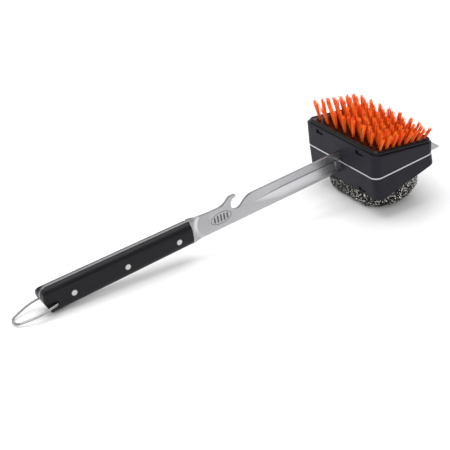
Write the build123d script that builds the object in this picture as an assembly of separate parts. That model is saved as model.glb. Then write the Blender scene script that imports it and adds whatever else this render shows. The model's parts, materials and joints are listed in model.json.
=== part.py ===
from build123d import *
import math
import os

# Two-sided grill cleaning brush: a full-tang steel handle and shaft, a wedge-shaped two-part head with a steel
# scraper plate between its halves, a bristle cartridge on top, a wire-mesh scrubber cartridge below, and a
# hanging loop at the butt. Everything is drawn in the brush's own frame and then laid down in its resting pose.
# Own frame, millimetres: +X from the butt to the head, +Y to the left, +Z towards the bristles, with the axis
# of the rear handle rivet along Y through the origin.

os.makedirs("parts", exist_ok=True)

# ---- driving dimensions -------------------------------------------------------------------------------

# Steel blade: one flat piece that is tang, neck, bottle opener, shaft and tail
STEEL_T = 3.0  # thickness across Y
SHAFT_TOP = 11.2
SHAFT_BOTTOM = -12.8
TAIL_END_X = 385.0  # the blade's end, inside the head

# Bolster: the thicker part in front of the grips, hollowed on each side down to the blade's flat
BOLSTER_T = 9.0
HOLLOW_X, HOLLOW_Z = 162.0, -1.8  # centre of the hollow's curved end line
HOLLOW_R, HOLLOW_RUN = 14.8, 11.5  # radius of that line, and how far the hollow runs out from it
HOLLOW_SAG = 0.5  # how much deeper than a straight slope it is

# Handle grips
HANDLE_W = 19.2  # across both grips and the tang
GRIP_FRONT_X = 137.5
BUTT_X = -31.9
BUTT_TOP, BUTT_BOTTOM = 15.3, -14.4
FRONT_TOP, FRONT_BOTTOM = 13.0, -12.7
GRIP_SIDE_ROUND = 9.0  # radius of the grips' rounded top and bottom
GRIP_END_ROUND = 1.5  # radius round each grip's front end

# Handle rivets, each a barrel with a stud pressed into it
RIVET_COUNT = 3
RIVET_PITCH = 60.0
RIVET_HEAD_R, RIVET_HEAD_T = 3.3, 1.6
RIVET_PROUD = 0.15
RIVET_BARREL_R, RIVET_STUD_R = 2.4, 1.4
STUD_REACH = 4.0  # how far the stud runs past the middle of the tang

# Hanging loop
LOOP_PIVOT = (-19.5, -2.1)  # X, Z of its hole
LOOP_HOLE_R = 2.0
LOOP_WIRE_R = 1.2
LOOP_WAIST, LOOP_BELLY, LOOP_TIP = 12.0, 13.2, 6.0  # half widths from the handle to the end
LOOP_LENGTH = 43.5
LOOP_DROOP = 7.5  # degrees below the handle's axis when stored
LOOP_END_Y = 2.5  # where each end of the wire stops inside the hole

# Bottle opener notch, as a circle that opens into a ramp
NOTCH_X, NOTCH_Z, NOTCH_R = 196.4, 8.6, 7.2
RAMP_ANGLE = 40.0
RAMP_CREST_R = 18.0
HOOK_TOP = 18.6

# Groove pressed into both sides of the shaft
GROOVE_TIP_X, GROOVE_FULL_X, GROOVE_END_X = 213.0, 252.0, 325.0
GROOVE_DEPTH = 1.15
GROOVE_TOP, GROOVE_VALLEY, GROOVE_FOOT = 3.2, 1.9, -9.5
GROOVE_TIP_Z = 0.4

# Head: a rounded box about the steel mid plate, whose two working faces close towards the front
HEAD_REAR_X = 331.5
HEAD_DEPTH = 81.3
HEAD_WIDTH = 121.9
HEAD_CORNER_R = 9.0
MID_Z = -1.3
REAR_HEIGHT = 27.1  # from the mid plane to the rim at the rear
FRONT_HEIGHT = 12.35
LEAN = 0.057  # how far the end walls lean forward for each millimetre of height
FLARE = 0.045  # how far each side wall spreads for each millimetre of height
WALL = 2.6
FLOOR = 2.0
RIM_ROUND = 0.8
RIB_T = 2.6  # the two ribs that hold the shaft in each housing
RIB_START_X = 334.0
BOSS_R, BOSS_TOP = 4.2, 9.0  # the screw bosses, with their height above the mid plane

# Scraper plate
PLATE_T = 1.5
SCRAPER_REACH = 11.7
SCRAPER_INSET = 5.5
SCRAPER_BEVEL = (2.6, 1.0)  # length and height of the ground edge underneath
SCRAPER_CORNER_R = 1.5
HALVING_X = 362.0  # the shaft's tail is slotted from here, and the scraper plate up to here

# Cartridges, measured from the rim plane
FIT = 0.15  # gap all round in the pocket
POCKET_DEPTH = 8.6
WINDOW_Y = 34.0
WINDOW_W, WINDOW_TOP, WINDOW_BOTTOM = 11.5, 2.4, 7.0
TAB_TOP, TAB_REACH, TAB_T = 2.6, 7.8, 1.8  # the snap tabs behind the windows
LIP_INSET, LIP_HEIGHT, LIP_ROUND = 2.0, 4.2, 2.4
BED_INSET, BED_HEIGHT = 4.4, 3.4
BASE_UNDER = 3.2

# Bristle tufts, on a hexagonal pattern
TUFT_COLUMNS = 16
COLUMN_PITCH = 7.3
ROW_PITCH = 8.5
LONG_COLUMN = 8  # tufts in every other column; the columns between have one fewer
TUFT_REAR_LENGTH, TUFT_FRONT_LENGTH = 18.4, 15.2  # they are trimmed shorter towards the front
TUFT_ROOT_R, TUFT_TIP_R = 1.45, 2.6
ROOT_DEPTH = 4.2
HOLE_DEPTH = 5.2
HOLE_GAP = 0.05
FAN_ACROSS, FAN_ALONG = 23.0, 10.0  # degrees that the outermost tufts lean, sideways and fore-and-aft

# Scrubber pad
PAD_X, PAD_Y, PAD_HEIGHT = 76.0, 110.0, 27.0
PAD_BASE = 0.15  # the pad starts this far outside the rim plane
PAD_SETBACK = 2.5  # it sits this far towards the handle
PAD_PLAN_R, PAD_CROWN_R, PAD_HEEL_R = 36.0, 9.0, 4.0
MESH_THICKNESS = 5.0
FOOT_LAP = 2.0  # how far the foot of the mesh runs up into the pad

# Clamp ring, which holds the foot of the mesh in the scrubber cartridge
RING_T, RING_TOP = 2.2, -0.3  # it sits just inside the rim
RING_INSET = 1.9
NECK_INSET, NECK_CORNER_R = 6.5, 6.0
SCRUBBER_BASE_UNDER = 5.0
RING_SCREW_R, RING_SCREW_BITE = 1.0, 1.5
RING_SCREW_HEAD_R, RING_SCREW_HEAD_T = 1.9, 1.0
RING_SCREW_IN_X, RING_SCREW_IN_Y = 14.0, 3.2  # from the ring's corner to each screw

# Fasteners
SCREW_XY = ((346.0, 46.0), (399.0, 46.0), (346.0, -46.0), (399.0, -46.0))
SCREW_R, SCREW_HEAD_R, SCREW_HEAD_T = 1.6, 2.9, 1.8
SCREW_SEAT, SCREW_TIP = 6.0, 7.0  # below and above the mid plane
SCREW_GAP = 0.2
PIN_X, PIN_R = 352.0, 2.0
PIN_Z = (MID_Z + 7.0, MID_Z - 7.0)
RECESS_LENGTH, RECESS_W, RECESS_DEPTH = 3.2, 0.8, 1.0  # the cross in each screw head

# The brush rests on its scrubber pad and the butt of its handle
REST_TILT = 6.0638

BIG = 200.0  # larger than anything that it cuts

# ---- frames -------------------------------------------------------------------------------------------

LEAN_REAR_RIM_X = HEAD_REAR_X + LEAN * REAR_HEIGHT
LEAN_FRONT_RIM_X = HEAD_REAR_X + HEAD_DEPTH + LEAN * FRONT_HEIGHT
WEDGE = math.degrees(math.atan2(REAR_HEIGHT - FRONT_HEIGHT, LEAN_FRONT_RIM_X - LEAN_REAR_RIM_X))
RIM_LENGTH = math.hypot(LEAN_FRONT_RIM_X - LEAN_REAR_RIM_X, REAR_HEIGHT - FRONT_HEIGHT)
RIM_WIDTH = HEAD_WIDTH + 2 * FLARE * FRONT_HEIGHT
RIM_AXIS = (math.sin(math.radians(WEDGE)), 0, math.cos(math.radians(WEDGE)))
RIM = Plane(
    origin=((LEAN_REAR_RIM_X + LEAN_FRONT_RIM_X) / 2, 0, MID_Z + (REAR_HEIGHT + FRONT_HEIGHT) / 2),
    x_dir=(RIM_AXIS[2], 0, -RIM_AXIS[0]),
    z_dir=RIM_AXIS,
)
OUTWARD = Axis(RIM.origin, RIM.z_dir)
MID = Plane.XY.offset(MID_Z)
SIDE = Plane.XZ  # local x is X, local y is Z, and the normal points to -Y


def mirrored(part):
    """The same shape on the other side of the head's mid plane."""
    return mirror(part, about=MID)


def slab(profile, y_low, y_high):
    """A side profile, drawn in X and Z, made solid from y_low to y_high."""
    return extrude(SIDE.offset(-y_high) * profile, amount=y_high - y_low)


def across(x, z, radius, y_low, y_high):
    """A round bar or bore along Y."""
    return slab(Pos(x, z) * Circle(radius), y_low, y_high)


def rounded(length, width, radius, low, high, plane=RIM):
    """A rounded rectangular block standing on a plane, from low to high along its normal."""
    return extrude(plane.offset(low) * RectangleRounded(length, width, radius), amount=high - low)


def upright(x, y, radius, low, high):
    """A round bar or bore along Z, with heights measured from the head's mid plane."""
    return extrude(Plane.XY.offset(MID_Z + low) * Pos(x, y) * Circle(radius), amount=high - low)


# ---- handle and blade ---------------------------------------------------------------------------------


def handle_profile():
    """Side outline of the grips and tang, with the butt's lower corner cut away."""
    outline = FilletPolyline(
        (GRIP_FRONT_X, FRONT_BOTTOM),
        (GRIP_FRONT_X, FRONT_TOP),
        (BUTT_X, BUTT_TOP),
        (BUTT_X, 3.0),
        (BUTT_X + 7.0, BUTT_BOTTOM),
        radius=[0, 0, 9.0, 8.0, 4.0],
        close=True,
    )
    return make_face(outline)


def hook_profile():
    """Side outline of the neck as it rises into the opener's hook."""
    outline = FilletPolyline(
        (NOTCH_X, SHAFT_BOTTOM),
        (NOTCH_X + 0.6, HOOK_TOP - 5.1),
        (NOTCH_X + 0.6, HOOK_TOP),
        (188.9, HOOK_TOP),
        (179.6, 11.3),
        (166.5, 11.3),
        (GRIP_FRONT_X, FRONT_TOP),
        (GRIP_FRONT_X, FRONT_BOTTOM),
        (158.0, SHAFT_BOTTOM),
        radius=[0, 0, 1.7, 5.5, 14.0, 30.0, 0, 0, 0],
        close=True,
    )
    return make_face(outline)


def ramp_point(z):
    """Where the ramp beside the notch reaches height z; it leaves the notch's circle as a tangent."""
    start = math.radians(RAMP_ANGLE - 90)
    foot_x = NOTCH_X + NOTCH_R * math.cos(start)
    foot_z = NOTCH_Z + NOTCH_R * math.sin(start)
    z = foot_z if z is None else z
    return foot_x + (z - foot_z) / math.tan(math.radians(RAMP_ANGLE)), z


def notch_profile():
    """The opener's notch: a circle, and the ramp that rises from it to the shaft's top."""
    clear_z = HOOK_TOP + 10
    ramp = Polyline(
        (NOTCH_X, NOTCH_Z),
        ramp_point(None),
        ramp_point(clear_z),
        (NOTCH_X + 0.6, clear_z),
        (NOTCH_X, NOTCH_Z),
    )
    return Pos(NOTCH_X, NOTCH_Z) * Circle(NOTCH_R) + make_face(ramp)


def blade_profile():
    """The blade's whole side outline, from the butt to the tail."""
    shaft = make_face(
        Polyline(
            (NOTCH_X - 1, SHAFT_BOTTOM),
            (TAIL_END_X, SHAFT_BOTTOM),
            (TAIL_END_X, SHAFT_TOP),
            (NOTCH_X - 1, SHAFT_TOP),
            (NOTCH_X - 1, SHAFT_BOTTOM),
        )
    )
    profile = handle_profile() + hook_profile() + shaft - notch_profile()
    crest = profile.vertices().sort_by_distance(ramp_point(SHAFT_TOP))[0]
    return fillet(crest, RAMP_CREST_R)


def bolster(profile):
    """The thicker part in front of the grips, which the two hollows thin down to the flat."""
    length = HOLLOW_X - GRIP_FRONT_X
    region = Pos(GRIP_FRONT_X + length / 2, 0) * Rectangle(length, BIG)
    body = slab(profile & region, -BOLSTER_T / 2, BOLSTER_T / 2)
    return body - [hollow(), mirror(hollow(), about=Plane.XZ)]


def hollow():
    """The round hollow on the bolster's right side, turned about an axis along Y."""

    def at(radius, y):
        return (HOLLOW_X - radius, y, HOLLOW_Z)

    flat_y = -STEEL_T / 2
    edge_y = -BOLSTER_T / 2
    line = at(HOLLOW_R, flat_y)
    edge = at(HOLLOW_R + HOLLOW_RUN, edge_y)
    middle = at(HOLLOW_R + HOLLOW_RUN / 2, (flat_y + edge_y) / 2 + HOLLOW_SAG)
    outside = edge_y - 1
    edges = [
        Line(at(0, flat_y), line),
        ThreePointArc(line, middle, edge),
        Line(edge, at(HOLLOW_R + HOLLOW_RUN, outside)),
        Line(at(HOLLOW_R + HOLLOW_RUN, outside), at(0, outside)),
        Line(at(0, outside), at(0, flat_y)),
    ]
    return revolve(make_face(edges), axis=Axis((HOLLOW_X, 0, HOLLOW_Z), (0, 1, 0)), revolution_arc=360)


def groove_section(x, size):
    """Cross-section of the groove at x: a steep upper wall and a long curved lower wall, scaled by size."""

    def at(depth, z):
        return (x, -STEEL_T / 2 + depth * size, GROOVE_TIP_Z + (z - GROOVE_TIP_Z) * size)

    outside = 1.0
    valley = at(GROOVE_DEPTH, GROOVE_VALLEY)
    middle = at(GROOVE_DEPTH * 0.62, (GROOVE_VALLEY + GROOVE_FOOT) / 2)
    edges = [
        Line(at(-outside, GROOVE_TOP), at(0, GROOVE_TOP)),
        Line(at(0, GROOVE_TOP), valley),
        ThreePointArc(valley, middle, at(0, GROOVE_FOOT)),
        Line(at(0, GROOVE_FOOT), at(-outside, GROOVE_FOOT)),
        Line(at(-outside, GROOVE_FOOT), at(-outside, GROOVE_TOP)),
    ]
    return make_face(edges).face()


def groove():
    """The groove pressed along the shaft's right side, running out to a point behind the opener."""
    tip = loft([groove_section(GROOVE_TIP_X, 0.04), groove_section(GROOVE_FULL_X, 1.0)])
    run = loft([groove_section(GROOVE_FULL_X, 1.0), groove_section(GROOVE_END_X, 1.0)])
    return tip + run


def steel_shaft():
    profile = blade_profile()
    blade = slab(profile, -STEEL_T / 2, STEEL_T / 2) + bolster(profile)
    blade -= [groove(), mirror(groove(), about=Plane.XZ)]
    for x in rivet_places():
        blade -= across(x, 0, RIVET_BARREL_R + HOLE_GAP, -HANDLE_W, HANDLE_W)
    blade -= across(*LOOP_PIVOT, LOOP_HOLE_R, -HANDLE_W, HANDLE_W)
    for z in PIN_Z:
        blade -= across(PIN_X, z, PIN_R + HOLE_GAP, -HANDLE_W, HANDLE_W)
    slot_length = 2 * (TAIL_END_X - HALVING_X)
    halving = Pos(TAIL_END_X, 0, MID_Z) * Box(slot_length, 2 * STEEL_T, PLATE_T + 4 * HOLE_GAP)
    return blade - halving


def rivet_places():
    return [i * RIVET_PITCH for i in range(RIVET_COUNT)]


def handle_envelope():
    """Both grips and the tang as one body with a rounded cross-section that tapers to the front."""
    ends = []
    for x, top, bottom in (
        (BUTT_X, BUTT_TOP, BUTT_BOTTOM),
        (GRIP_FRONT_X, FRONT_TOP, FRONT_BOTTOM),
    ):
        section = Plane(origin=(x, 0, (top + bottom) / 2), x_dir=(0, 1, 0), z_dir=(1, 0, 0))
        ends.append((section * RectangleRounded(HANDLE_W, top - bottom, GRIP_SIDE_ROUND)).face())
    return loft(ends, ruled=True)


def handle_scale(side):
    """One grip; side is -1 for the right grip and 1 for the left."""
    low, high = sorted((side * STEEL_T / 2, side * HANDLE_W / 2))
    grip = handle_envelope() & slab(handle_profile(), low, high)
    front = grip.faces().sort_by(Axis.X)[-1]
    grip = fillet(outer_edges(front, side), GRIP_END_ROUND)
    face_y = side * HANDLE_W / 2
    for x in rivet_places():
        grip -= across(x, 0, RIVET_BARREL_R + HOLE_GAP, low, high)
        grip -= across(x, 0, RIVET_HEAD_R + HOLE_GAP, *sorted((face_y, face_y - side * RIVET_HEAD_T)))
    return grip - across(*LOOP_PIVOT, LOOP_HOLE_R, low, high)


def outer_edges(face, side):
    """The edges of an end face that aren't against the tang."""
    return [edge for edge in face.edges() if side * edge.center().Y > STEEL_T / 2 + 0.1]


def rivet_head(x, side):
    seat = side * (HANDLE_W / 2 - RIVET_HEAD_T)
    crown = side * (HANDLE_W / 2 + RIVET_PROUD)
    head = across(x, 0, RIVET_HEAD_R, *sorted((seat, crown)))
    rim = head.edges().filter_by(GeomType.CIRCLE).sort_by(Axis.Y)[0 if side < 0 else -1]
    return fillet(rim, RIVET_PROUD * 0.9)


def rivet_socket(x):
    """Right half: a head with a barrel that runs through the tang."""
    barrel_low = -(HANDLE_W / 2 - RIVET_HEAD_T)
    barrel_high = HANDLE_W / 2 - RIVET_HEAD_T
    socket = rivet_head(x, -1) + across(x, 0, RIVET_BARREL_R, barrel_low, barrel_high)
    return socket - across(x, 0, RIVET_STUD_R + HOLE_GAP, barrel_low + 1.0, barrel_high)


def rivet_stud(x):
    """Left half: a head with a stud that is pressed into the barrel."""
    return rivet_head(x, 1) + across(x, 0, RIVET_STUD_R, -STUD_REACH, HANDLE_W / 2 - RIVET_HEAD_T)


def hanging_loop():
    """Bent wire bail whose two ends turn in to the hole in the handle."""
    belly_x = -LOOP_LENGTH / 2
    path = FilletPolyline(
        (0, LOOP_END_Y),
        (0, LOOP_WAIST),
        (belly_x, LOOP_BELLY),
        (-LOOP_LENGTH, LOOP_TIP),
        (-LOOP_LENGTH, -LOOP_TIP),
        (belly_x, -LOOP_BELLY),
        (0, -LOOP_WAIST),
        (0, -LOOP_END_Y),
        radius=[2.6, 40.0, 7.0, 7.0, 40.0, 2.6],
    )
    start = Plane(origin=path @ 0, z_dir=path % 0)
    wire = sweep(start * Circle(LOOP_WIRE_R), path=path)
    return Pos(LOOP_PIVOT[0], 0, LOOP_PIVOT[1]) * Rot(0, -LOOP_DROOP, 0) * wire


# ---- head ---------------------------------------------------------------------------------------------


def head_section(height, inset):
    """Plan of the head at a height above the mid plane."""
    centre = HEAD_REAR_X + HEAD_DEPTH / 2 + LEAN * height
    length = HEAD_DEPTH - 2 * inset
    width = HEAD_WIDTH + 2 * FLARE * height - 2 * inset
    plan = RectangleRounded(length, width, HEAD_CORNER_R - inset)
    return (Plane(origin=(centre, 0, MID_Z + height)) * plan).face()


def head_prism(low, high, inset=0.0):
    return loft([head_section(low, inset), head_section(high, inset)], ruled=True)


def pocket_size(inset):
    return RIM_LENGTH - 2 * inset, RIM_WIDTH - 2 * inset, HEAD_CORNER_R - inset


def tab_places():
    """Where the snap tabs stand, as (end of the head, y): two at the rear and two at the front."""
    return [(end, y) for end in (-1, 1) for y in (-WINDOW_Y, WINDOW_Y)]


def housing(screw_bosses):
    """One half of the head, drawn as the upper half: an open box with its floor on the scraper plate."""
    plate = PLATE_T / 2
    tall = REAR_HEIGHT + 6
    above_rim = rounded(BIG, BIG, 1, 0, BIG)
    shell = head_prism(plate, tall) - above_rim
    shell = fillet(shell.faces().sort_by(OUTWARD)[-1].edges(), RIM_ROUND)
    shell -= head_prism(plate + FLOOR, tall, WALL)
    shell -= rounded(*pocket_size(WALL), -POCKET_DEPTH, 10)

    under_cartridge = rounded(BIG, BIG, 1, -SCRUBBER_BASE_UNDER - RING_SCREW_HEAD_T - FIT, BIG)
    ribs = []
    for side in (-1, 1):
        centre_y = side * (STEEL_T / 2 + HOLE_GAP + RIB_T / 2)
        rib_top = SHAFT_TOP - MID_Z
        rib = Pos((RIB_START_X + TAIL_END_X) / 2, centre_y, MID_Z + (plate + rib_top) / 2)
        ribs.append(rib * Box(TAIL_END_X - RIB_START_X, RIB_T, rib_top - plate))
    shell += ribs
    shell += [upright(x, y, BOSS_R, plate, BOSS_TOP) - under_cartridge for x, y in SCREW_XY]

    slot_length = TAIL_END_X - HEAD_REAR_X + 30
    shaft_slot = Box(slot_length, STEEL_T + 2 * HOLE_GAP, 2 * (SHAFT_TOP - MID_Z + HOLE_GAP))
    shell -= Pos(TAIL_END_X + 0.5 - slot_length / 2, 0, MID_Z) * shaft_slot
    shell -= across(PIN_X, PIN_Z[0], PIN_R + HOLE_GAP, -2 * RIB_T, 2 * RIB_T)
    for end, y in tab_places():
        window_z = -(WINDOW_TOP + WINDOW_BOTTOM) / 2
        window = Box(4 * WALL, WINDOW_W, WINDOW_BOTTOM - WINDOW_TOP)
        shell -= RIM.location * Pos(end * RIM_LENGTH / 2, y, window_z) * window
    return shell - screw_bosses


def upper_housing():
    pilots = [upright(x, y, SCREW_R + HOLE_GAP, -1, SCREW_TIP + SCREW_GAP) for x, y in SCREW_XY]
    return housing(pilots)


def lower_housing():
    bores = [upright(x, y, SCREW_R + SCREW_GAP, -1, BIG) for x, y in SCREW_XY]
    seats = [upright(x, y, SCREW_HEAD_R + SCREW_GAP, SCREW_SEAT, BIG) for x, y in SCREW_XY]
    return mirrored(housing(bores + seats))


def housing_screw(x, y):
    shank = upright(x, y, SCREW_R, -SCREW_SEAT, SCREW_TIP)
    head = upright(x, y, SCREW_HEAD_R, -SCREW_SEAT - SCREW_HEAD_T, -SCREW_SEAT)
    face = Pos(x, y, MID_Z - SCREW_SEAT - SCREW_HEAD_T)
    cross = [face * Rot(0, 0, turn) * Box(RECESS_LENGTH, RECESS_W, 2 * RECESS_DEPTH) for turn in (0, 90)]
    return shank + head - cross


def shaft_pin(z):
    half = STEEL_T / 2 + RIB_T
    return across(PIN_X, z, PIN_R, -half, half)


def scraper_plate():
    """Steel sheet between the housings; its edge shows as a band and its front is the scraper."""
    band = extrude(Plane(head_section(0, 0)) * Pos(0, 0, -PLATE_T / 2) * plate_plan(), amount=PLATE_T)
    tongue_end = HEAD_REAR_X + HEAD_DEPTH + SCRAPER_REACH
    tongue_start = HEAD_REAR_X + HEAD_DEPTH / 2
    tongue_width = HEAD_WIDTH - 2 * SCRAPER_INSET
    tongue = Pos((tongue_start + tongue_end) / 2, 0, MID_Z) * Box(tongue_end - tongue_start, tongue_width, PLATE_T)
    corners = tongue.edges().filter_by(Axis.Z).sort_by(Axis.X)[-2:]
    tongue = fillet(corners, SCRAPER_CORNER_R)
    under = MID_Z - PLATE_T / 2
    bevel = make_face(
        Polyline(
            (tongue_end, under + SCRAPER_BEVEL[1]),
            (tongue_end, under - 1),
            (tongue_end - SCRAPER_BEVEL[0] * 2, under - 1),
            (tongue_end - SCRAPER_BEVEL[0], under),
            (tongue_end, under + SCRAPER_BEVEL[1]),
        )
    )
    tongue -= slab(bevel, -HEAD_WIDTH, HEAD_WIDTH)
    plate = band + tongue
    slot = Pos(HEAD_REAR_X, 0, MID_Z)
    plate -= slot * Box(2 * (HALVING_X - HEAD_REAR_X), STEEL_T + 2 * HOLE_GAP, 2 * PLATE_T)
    return plate - [upright(x, y, SCREW_R + SCREW_GAP, -PLATE_T, PLATE_T) for x, y in SCREW_XY]


def plate_plan():
    return RectangleRounded(HEAD_DEPTH, HEAD_WIDTH, HEAD_CORNER_R)


# ---- bristle cartridge --------------------------------------------------------------------------------


def tabs():
    """Snap tabs that reach down the pocket behind its windows."""
    length = pocket_size(WALL + FIT)[0]
    width = WINDOW_W + 1.5
    places = []
    for end, y in tab_places():
        centre = Pos(end * (length - TAB_T) / 2, y, -(TAB_TOP + TAB_REACH) / 2)
        places.append(RIM.location * centre * Box(TAB_T, width, TAB_REACH - TAB_TOP))
    return places


def tuft_places():
    """Every tuft as (column, plane on the bed whose normal is the tuft's direction, length)."""
    places = []
    half_y = (TUFT_COLUMNS - 1) * COLUMN_PITCH / 2
    half_x = (LONG_COLUMN - 1) * ROW_PITCH / 2
    for column in range(TUFT_COLUMNS):
        y = -half_y + column * COLUMN_PITCH
        count = LONG_COLUMN - column % 2
        for row in range(count):
            x = (row - (count - 1) / 2) * ROW_PITCH
            lean_y = math.tan(math.radians(FAN_ACROSS)) * y / half_y
            lean_x = math.tan(math.radians(FAN_ALONG)) * x / half_x
            root = Plane(origin=RIM.from_local_coords((x, y, BED_HEIGHT)), z_dir=lean_direction(lean_x, lean_y))
            forward = (x / half_x + 1) / 2
            length = TUFT_REAR_LENGTH + (TUFT_FRONT_LENGTH - TUFT_REAR_LENGTH) * forward
            places.append((column, root, length))
    return places


def lean_direction(lean_x, lean_y):
    tip = RIM.from_local_coords((lean_x, lean_y, 1.0))
    return Vector(*tip) - RIM.origin


def tuft(root, length):
    buried = extrude(root.offset(-ROOT_DEPTH) * Circle(TUFT_ROOT_R), amount=ROOT_DEPTH)
    flare = loft([(root * Circle(TUFT_ROOT_R)).face(), (root.offset(length) * Circle(TUFT_TIP_R)).face()])
    return buried + flare


def tuft_hole(root):
    above = 3.0
    return extrude(root.offset(-HOLE_DEPTH) * Circle(TUFT_ROOT_R + HOLE_GAP), amount=HOLE_DEPTH + above)


def tuft_staple(root):
    return root.location * Pos(0, 0, -(ROOT_DEPTH + HOLE_DEPTH) / 2) * Box(2.4, 0.5, 0.8)


def brush_base(places):
    lip = rounded(*pocket_size(LIP_INSET), 0, LIP_HEIGHT)
    lip = fillet(lip.faces().sort_by(OUTWARD)[-1].edges(), LIP_ROUND)
    base = lip - rounded(*pocket_size(BED_INSET), BED_HEIGHT, LIP_HEIGHT + 5)
    base += rounded(*pocket_size(WALL + FIT), -BASE_UNDER, 0)
    base += tabs()
    return base - [tuft_hole(root) for _, root, _ in places]


def bristle_row(places, pair):
    """The tufts of two neighbouring columns."""
    return [tuft(root, length) for column, root, length in places if column // 2 == pair]


# ---- scrubber cartridge, drawn as if it were the upper one --------------------------------------------


def scrubber_base():
    plate_top = RING_TOP - RING_T
    base = rounded(*pocket_size(WALL + FIT), -SCRUBBER_BASE_UNDER, plate_top)
    rim_wall = rounded(*pocket_size(WALL + FIT), plate_top, RING_TOP) - rounded(
        *ring_size(HOLE_GAP), plate_top, RING_TOP
    )
    base += rim_wall
    base += tabs()
    return base - [ring_screw_bore(x, y) for x, y in ring_screw_places()]


def ring_size(grow=0.0):
    return pocket_size(WALL + FIT + RING_INSET - grow)


def ring_screw_places():
    length, width, _ = ring_size()
    x = length / 2 - RING_SCREW_IN_X
    y = width / 2 - RING_SCREW_IN_Y
    return [(x, y), (-x, y), (x, -y), (-x, -y)]


def ring_screw_bore(x, y):
    return RIM.location * Pos(x, y, -SCRUBBER_BASE_UNDER) * Cylinder(RING_SCREW_R + 2 * HOLE_GAP, 10)


def neck_size(grow=0.0):
    """Opening of the clamp ring, which the foot of the mesh fills."""
    length, width, _ = ring_size(grow - NECK_INSET)
    return length, width, NECK_CORNER_R + grow


def mesh_retainer():
    ring = rounded(*ring_size(), RING_TOP - RING_T, RING_TOP) - rounded(
        *neck_size(HOLE_GAP), RING_TOP - RING_T, RING_TOP
    )
    pilots = [
        RIM.location * Pos(x, y, RING_TOP - RING_T) * Cylinder(RING_SCREW_R + HOLE_GAP, 2 * RING_SCREW_BITE + 0.4)
        for x, y in ring_screw_places()
    ]
    return ring - pilots


def retainer_screw(x, y):
    """Screw from inside the base into the clamp ring."""
    seat = -SCRUBBER_BASE_UNDER
    tip = RING_TOP - RING_T + RING_SCREW_BITE
    shank = Pos(x, y, (seat + tip) / 2) * Cylinder(RING_SCREW_R, tip - seat)
    head = Pos(x, y, seat - RING_SCREW_HEAD_T / 2) * Cylinder(RING_SCREW_HEAD_R, RING_SCREW_HEAD_T)
    return RIM.location * (shank + head)


def pad_dome(shrink):
    """A cushion-shaped block over the rim, shrunk all round except at its base."""
    plan = RectangleRounded(PAD_X - 2 * shrink, PAD_Y - 2 * shrink, PAD_PLAN_R - shrink)
    dome = extrude(RIM.offset(PAD_BASE) * Pos(-PAD_SETBACK, 0) * plan, amount=PAD_HEIGHT - shrink - PAD_BASE)
    crown = dome.faces().sort_by(OUTWARD)[-1]
    return fillet(crown.edges(), PAD_CROWN_R - shrink)


def core_block(grow=0.0):
    foot = rounded(*neck_size(-MESH_THICKNESS + grow), RING_TOP - RING_T - grow, FOOT_LAP)
    return pad_dome(MESH_THICKNESS - grow) + foot


def steel_mesh_pad():
    dome = pad_dome(0.0)
    heel = dome.faces().sort_by(OUTWARD)[0]
    dome = fillet(heel.edges(), PAD_HEEL_R)
    foot = rounded(*neck_size(), RING_TOP - RING_T, FOOT_LAP)
    return dome + foot - core_block(HOLE_GAP)


# ---- assembly and writing -----------------------------------------------------------------------------

def build():
    """Every node in the brush's own frame, as lists of solids."""
    places = tuft_places()
    nodes = {
        "steel_shaft": [steel_shaft()],
        "handle_scale_right": [handle_scale(-1)],
        "handle_scale_left": [handle_scale(1)],
        "rivet_sockets": [rivet_socket(x) for x in rivet_places()],
        "rivet_studs": [rivet_stud(x) for x in rivet_places()],
        "hanging_loop": [hanging_loop()],
        "upper_housing": [upper_housing()],
        "lower_housing": [lower_housing()],
        "scraper_plate": [scraper_plate()],
        "housing_screws": [housing_screw(x, y) for x, y in SCREW_XY],
        "shaft_pins": [shaft_pin(z) for z in PIN_Z],
        "brush_base": [brush_base(places)],
        "tuft_staples": [tuft_staple(root) for _, root, _ in places],
        "scrubber_base": [mirrored(scrubber_base())],
        "scrubber_core": [mirrored(core_block())],
        "steel_mesh_pad": [mirrored(steel_mesh_pad())],
        "mesh_retainer": [mirrored(mesh_retainer())],
        "retainer_screws": [mirrored(retainer_screw(x, y)) for x, y in ring_screw_places()],
    }
    for pair in range(TUFT_COLUMNS // 2):
        nodes[f"bristle_row_{pair + 1}"] = bristle_row(places, pair)
    return nodes


def lay_down(nodes):
    """Tilt the brush onto its pad and butt, with the middle of its footprint at the origin."""
    tilt = Rot(0, -REST_TILT, 0)
    laid = {name: [tilt * solid for part in parts for solid in part.solids()] for name, parts in nodes.items()}
    box = Compound([solid for solids in laid.values() for solid in solids]).bounding_box()
    shift = Pos(-(box.min.X + box.max.X) / 2, -(box.min.Y + box.max.Y) / 2, -box.min.Z)
    return {name: [shift * solid for solid in solids] for name, solids in laid.items()}, shift * tilt


def main():
    nodes, placement = lay_down(build())
    for name, solids in nodes.items():
        export_step(Compound(solids), f"parts/{name}.step")
    box = Compound([solid for solids in nodes.values() for solid in solids]).bounding_box()
    print("overall size", box.size, "lowest butt", nodes["handle_scale_right"][0].bounding_box().min.Z)
    for label, point in (
        ("loop pivot", (LOOP_PIVOT[0], 0, LOOP_PIVOT[1])),
        ("tool origin", (0, 0, 0)),
        ("rim centre", tuple(RIM.origin)),
        ("bottle notch", (NOTCH_X, 0, NOTCH_Z)),
    ):
        print(label, placement * Pos(*point))
    print("lowest of the loop", nodes["hanging_loop"][0].bounding_box().min.Z)
    print("wedge", WEDGE, "pad lowest", nodes["steel_mesh_pad"][0].bounding_box().min.Z)


main()
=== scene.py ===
import json
import math
import random

import bpy
import numpy as np
from mathutils import Matrix, Vector, noise


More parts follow.
